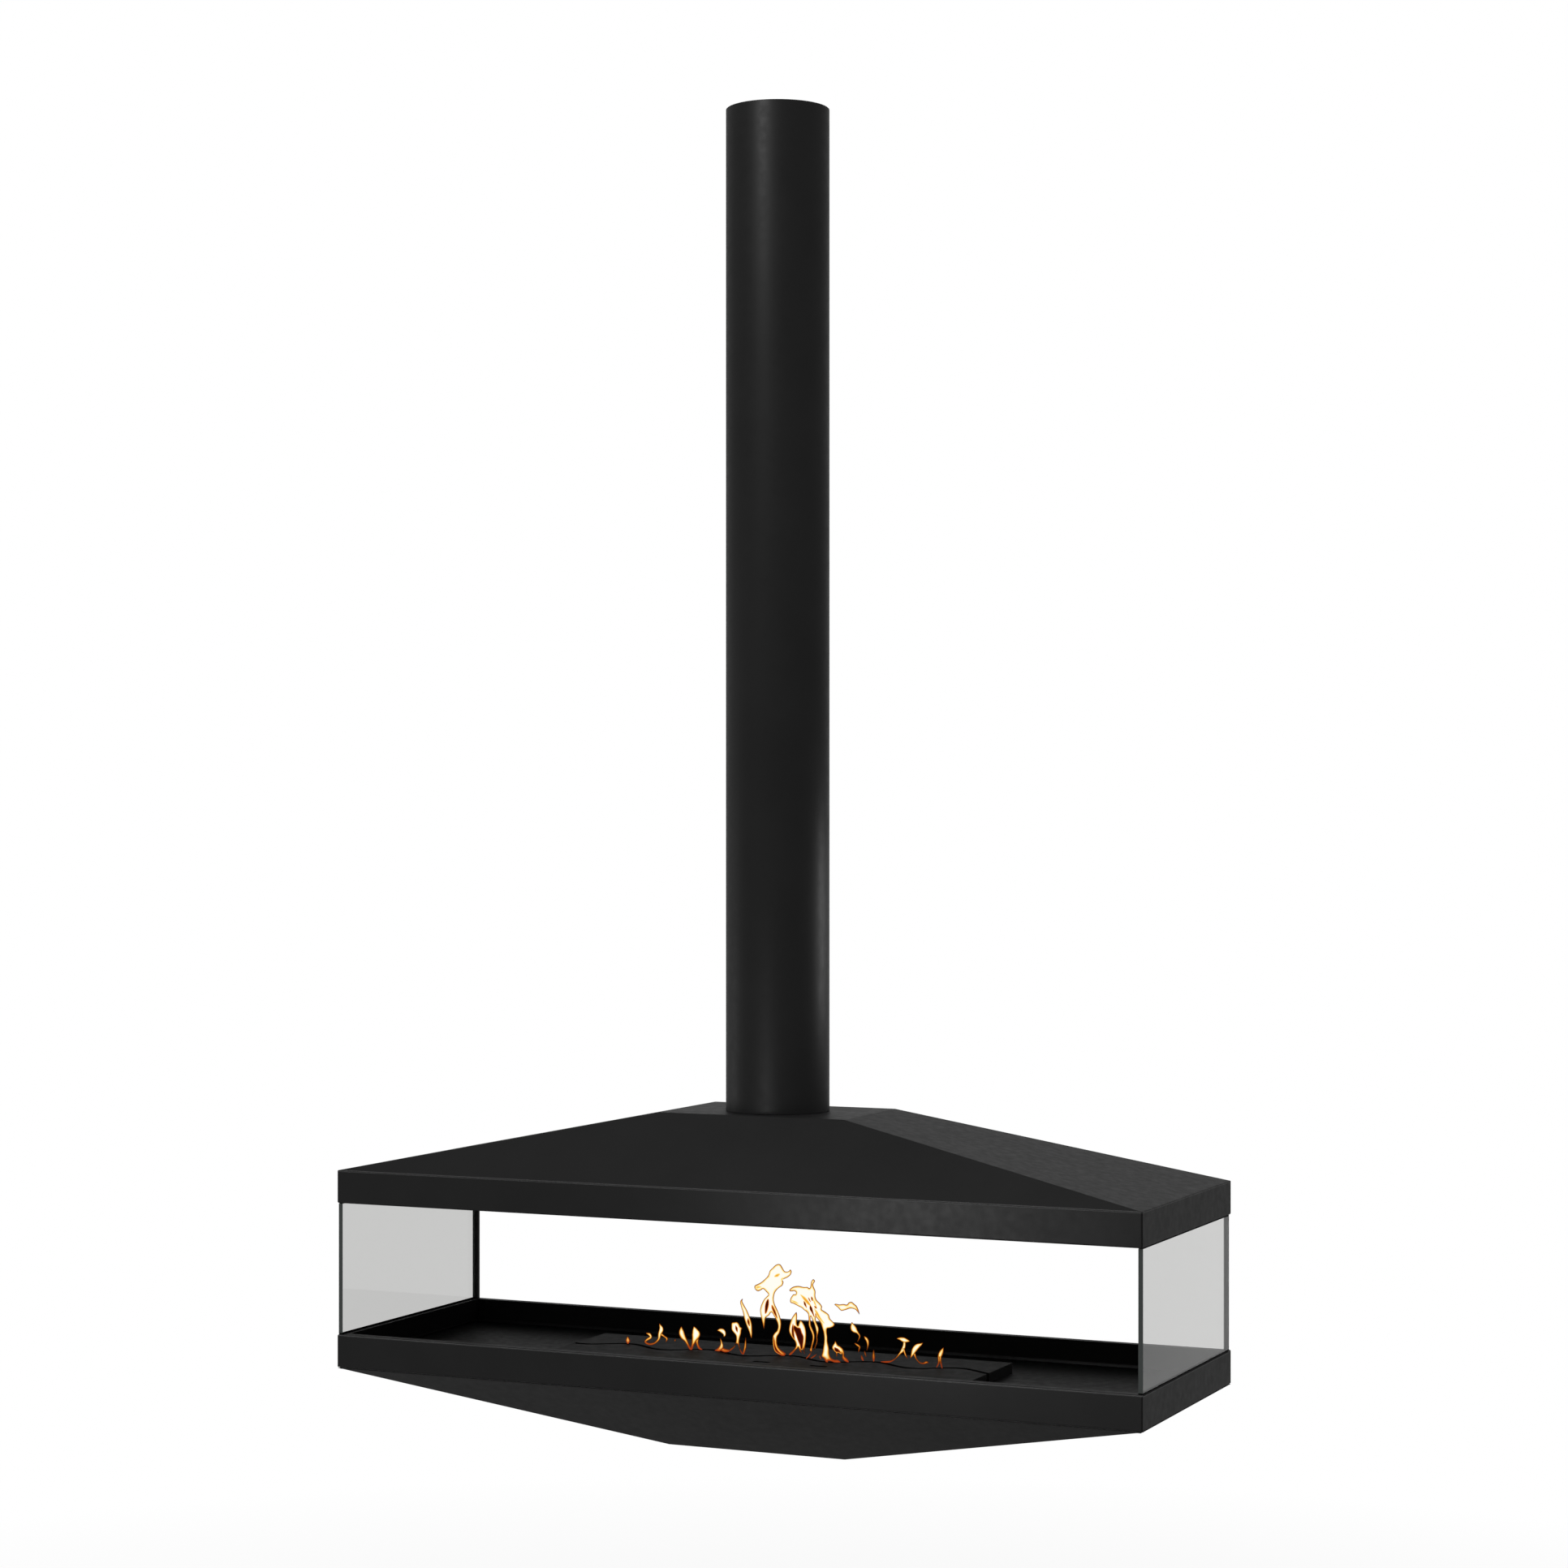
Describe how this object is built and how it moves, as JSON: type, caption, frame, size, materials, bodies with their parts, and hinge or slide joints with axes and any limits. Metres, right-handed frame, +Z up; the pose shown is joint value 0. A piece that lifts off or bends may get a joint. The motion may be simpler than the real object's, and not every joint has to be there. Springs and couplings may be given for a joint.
{
  "type": "hanging fireplace",
  "caption": "See-through fireplace hung from the ceiling on a round tube, with a hipped hood, glass ends, an open tray and a line burner under two lift-off plates.",
  "frame": {"origin": "centre of the ceiling bracket's top face, which bears on the ceiling; the whole object hangs below it", "axes": "+Z up, X along the long side of the body, +Y to the rear, where the two posts stand"},
  "size_m": [1.5, 0.495, 2.3415],
  "materials": {
    "black_coat": "fine-textured matte black powder coat",
    "heat_coat": "flat heat-resistant black",
    "zinc_steel": "zinc-plated steel",
    "stainless": "brushed stainless steel",
    "smoked_glass": "grey toughened glass, polished edges",
    "black_silicone": "matte black silicone strip",
    "ceramic_wool": "pressed white ceramic wool"
  },
  "bodies": {
    "fireplace": {"ceiling_plate": "zinc_steel", "bracket_collar": "zinc_steel", "tube_set_screw_1": "black_coat", "tube_set_screw_2": "black_coat", "tube_set_screw_3": "black_coat", "suspension_tube": "black_coat", "tube_foot_ring": "zinc_steel", "spreader_plate": "zinc_steel", "hanging_bolt_1": "zinc_steel", "hanging_bolt_2": "zinc_steel", "hanging_bolt_3": "zinc_steel", "hanging_bolt_4": "zinc_steel", "hood_band": "black_coat", "hood_roof": "black_coat", "hood_rim": "black_coat", "heat_shield": "heat_coat", "shield_screw_1": "zinc_steel", "shield_screw_2": "zinc_steel", "shield_screw_3": "zinc_steel", "shield_screw_4": "zinc_steel", "hood_stay_left": "zinc_steel", "hood_stay_right": "zinc_steel", "stay_bolt_left": "zinc_steel", "stay_bolt_right": "zinc_steel", "stay_foot_bolt_left": "zinc_steel", "stay_foot_bolt_right": "zinc_steel", "end_pane_left": "smoked_glass", "end_pane_right": "smoked_glass", "pane_head_seal_left": "black_silicone", "pane_head_seal_right": "black_silicone", "pane_foot_seal_left": "black_silicone", "pane_foot_seal_right": "black_silicone", "rear_post_left": "black_coat", "rear_post_right": "black_coat", "post_head_screw_left": "zinc_steel", "post_head_screw_right": "zinc_steel", "post_foot_screw_left": "zinc_steel", "post_foot_screw_right": "zinc_steel", "tray_shell": "black_coat", "floor_plate": "black_coat", "foot_frame": "black_coat", "base_cover": "black_coat", "base_screw_1": "zinc_steel", "base_screw_2": "zinc_steel", "base_screw_3": "zinc_steel", "base_screw_4": "zinc_steel", "base_screw_5": "zinc_steel", "base_screw_6": "zinc_steel", "fuel_tank": "stainless", "tank_deck": "stainless", "wick": "ceramic_wool", "guide_rail_front": "stainless", "guide_rail_rear": "stainless"},
    "register": {"register_slide": "stainless"},
    "front_plate": {"burner_plate_front": "black_coat"},
    "rear_plate": {"burner_plate_rear": "black_coat"}
  },
  "joints": [
    {"name": "register_travel", "type": "slide", "parent": "fireplace", "child": "register", "axis": [1, 0, 0], "range_m": [0, 0.02]},
    {"name": "front_plate_lift", "type": "slide", "parent": "fireplace", "child": "front_plate", "axis": [0, 0, 1], "range_m": [0, 0.15]},
    {"name": "rear_plate_lift", "type": "slide", "parent": "fireplace", "child": "rear_plate", "axis": [0, 0, 1], "range_m": [0, 0.15]}
  ]
}
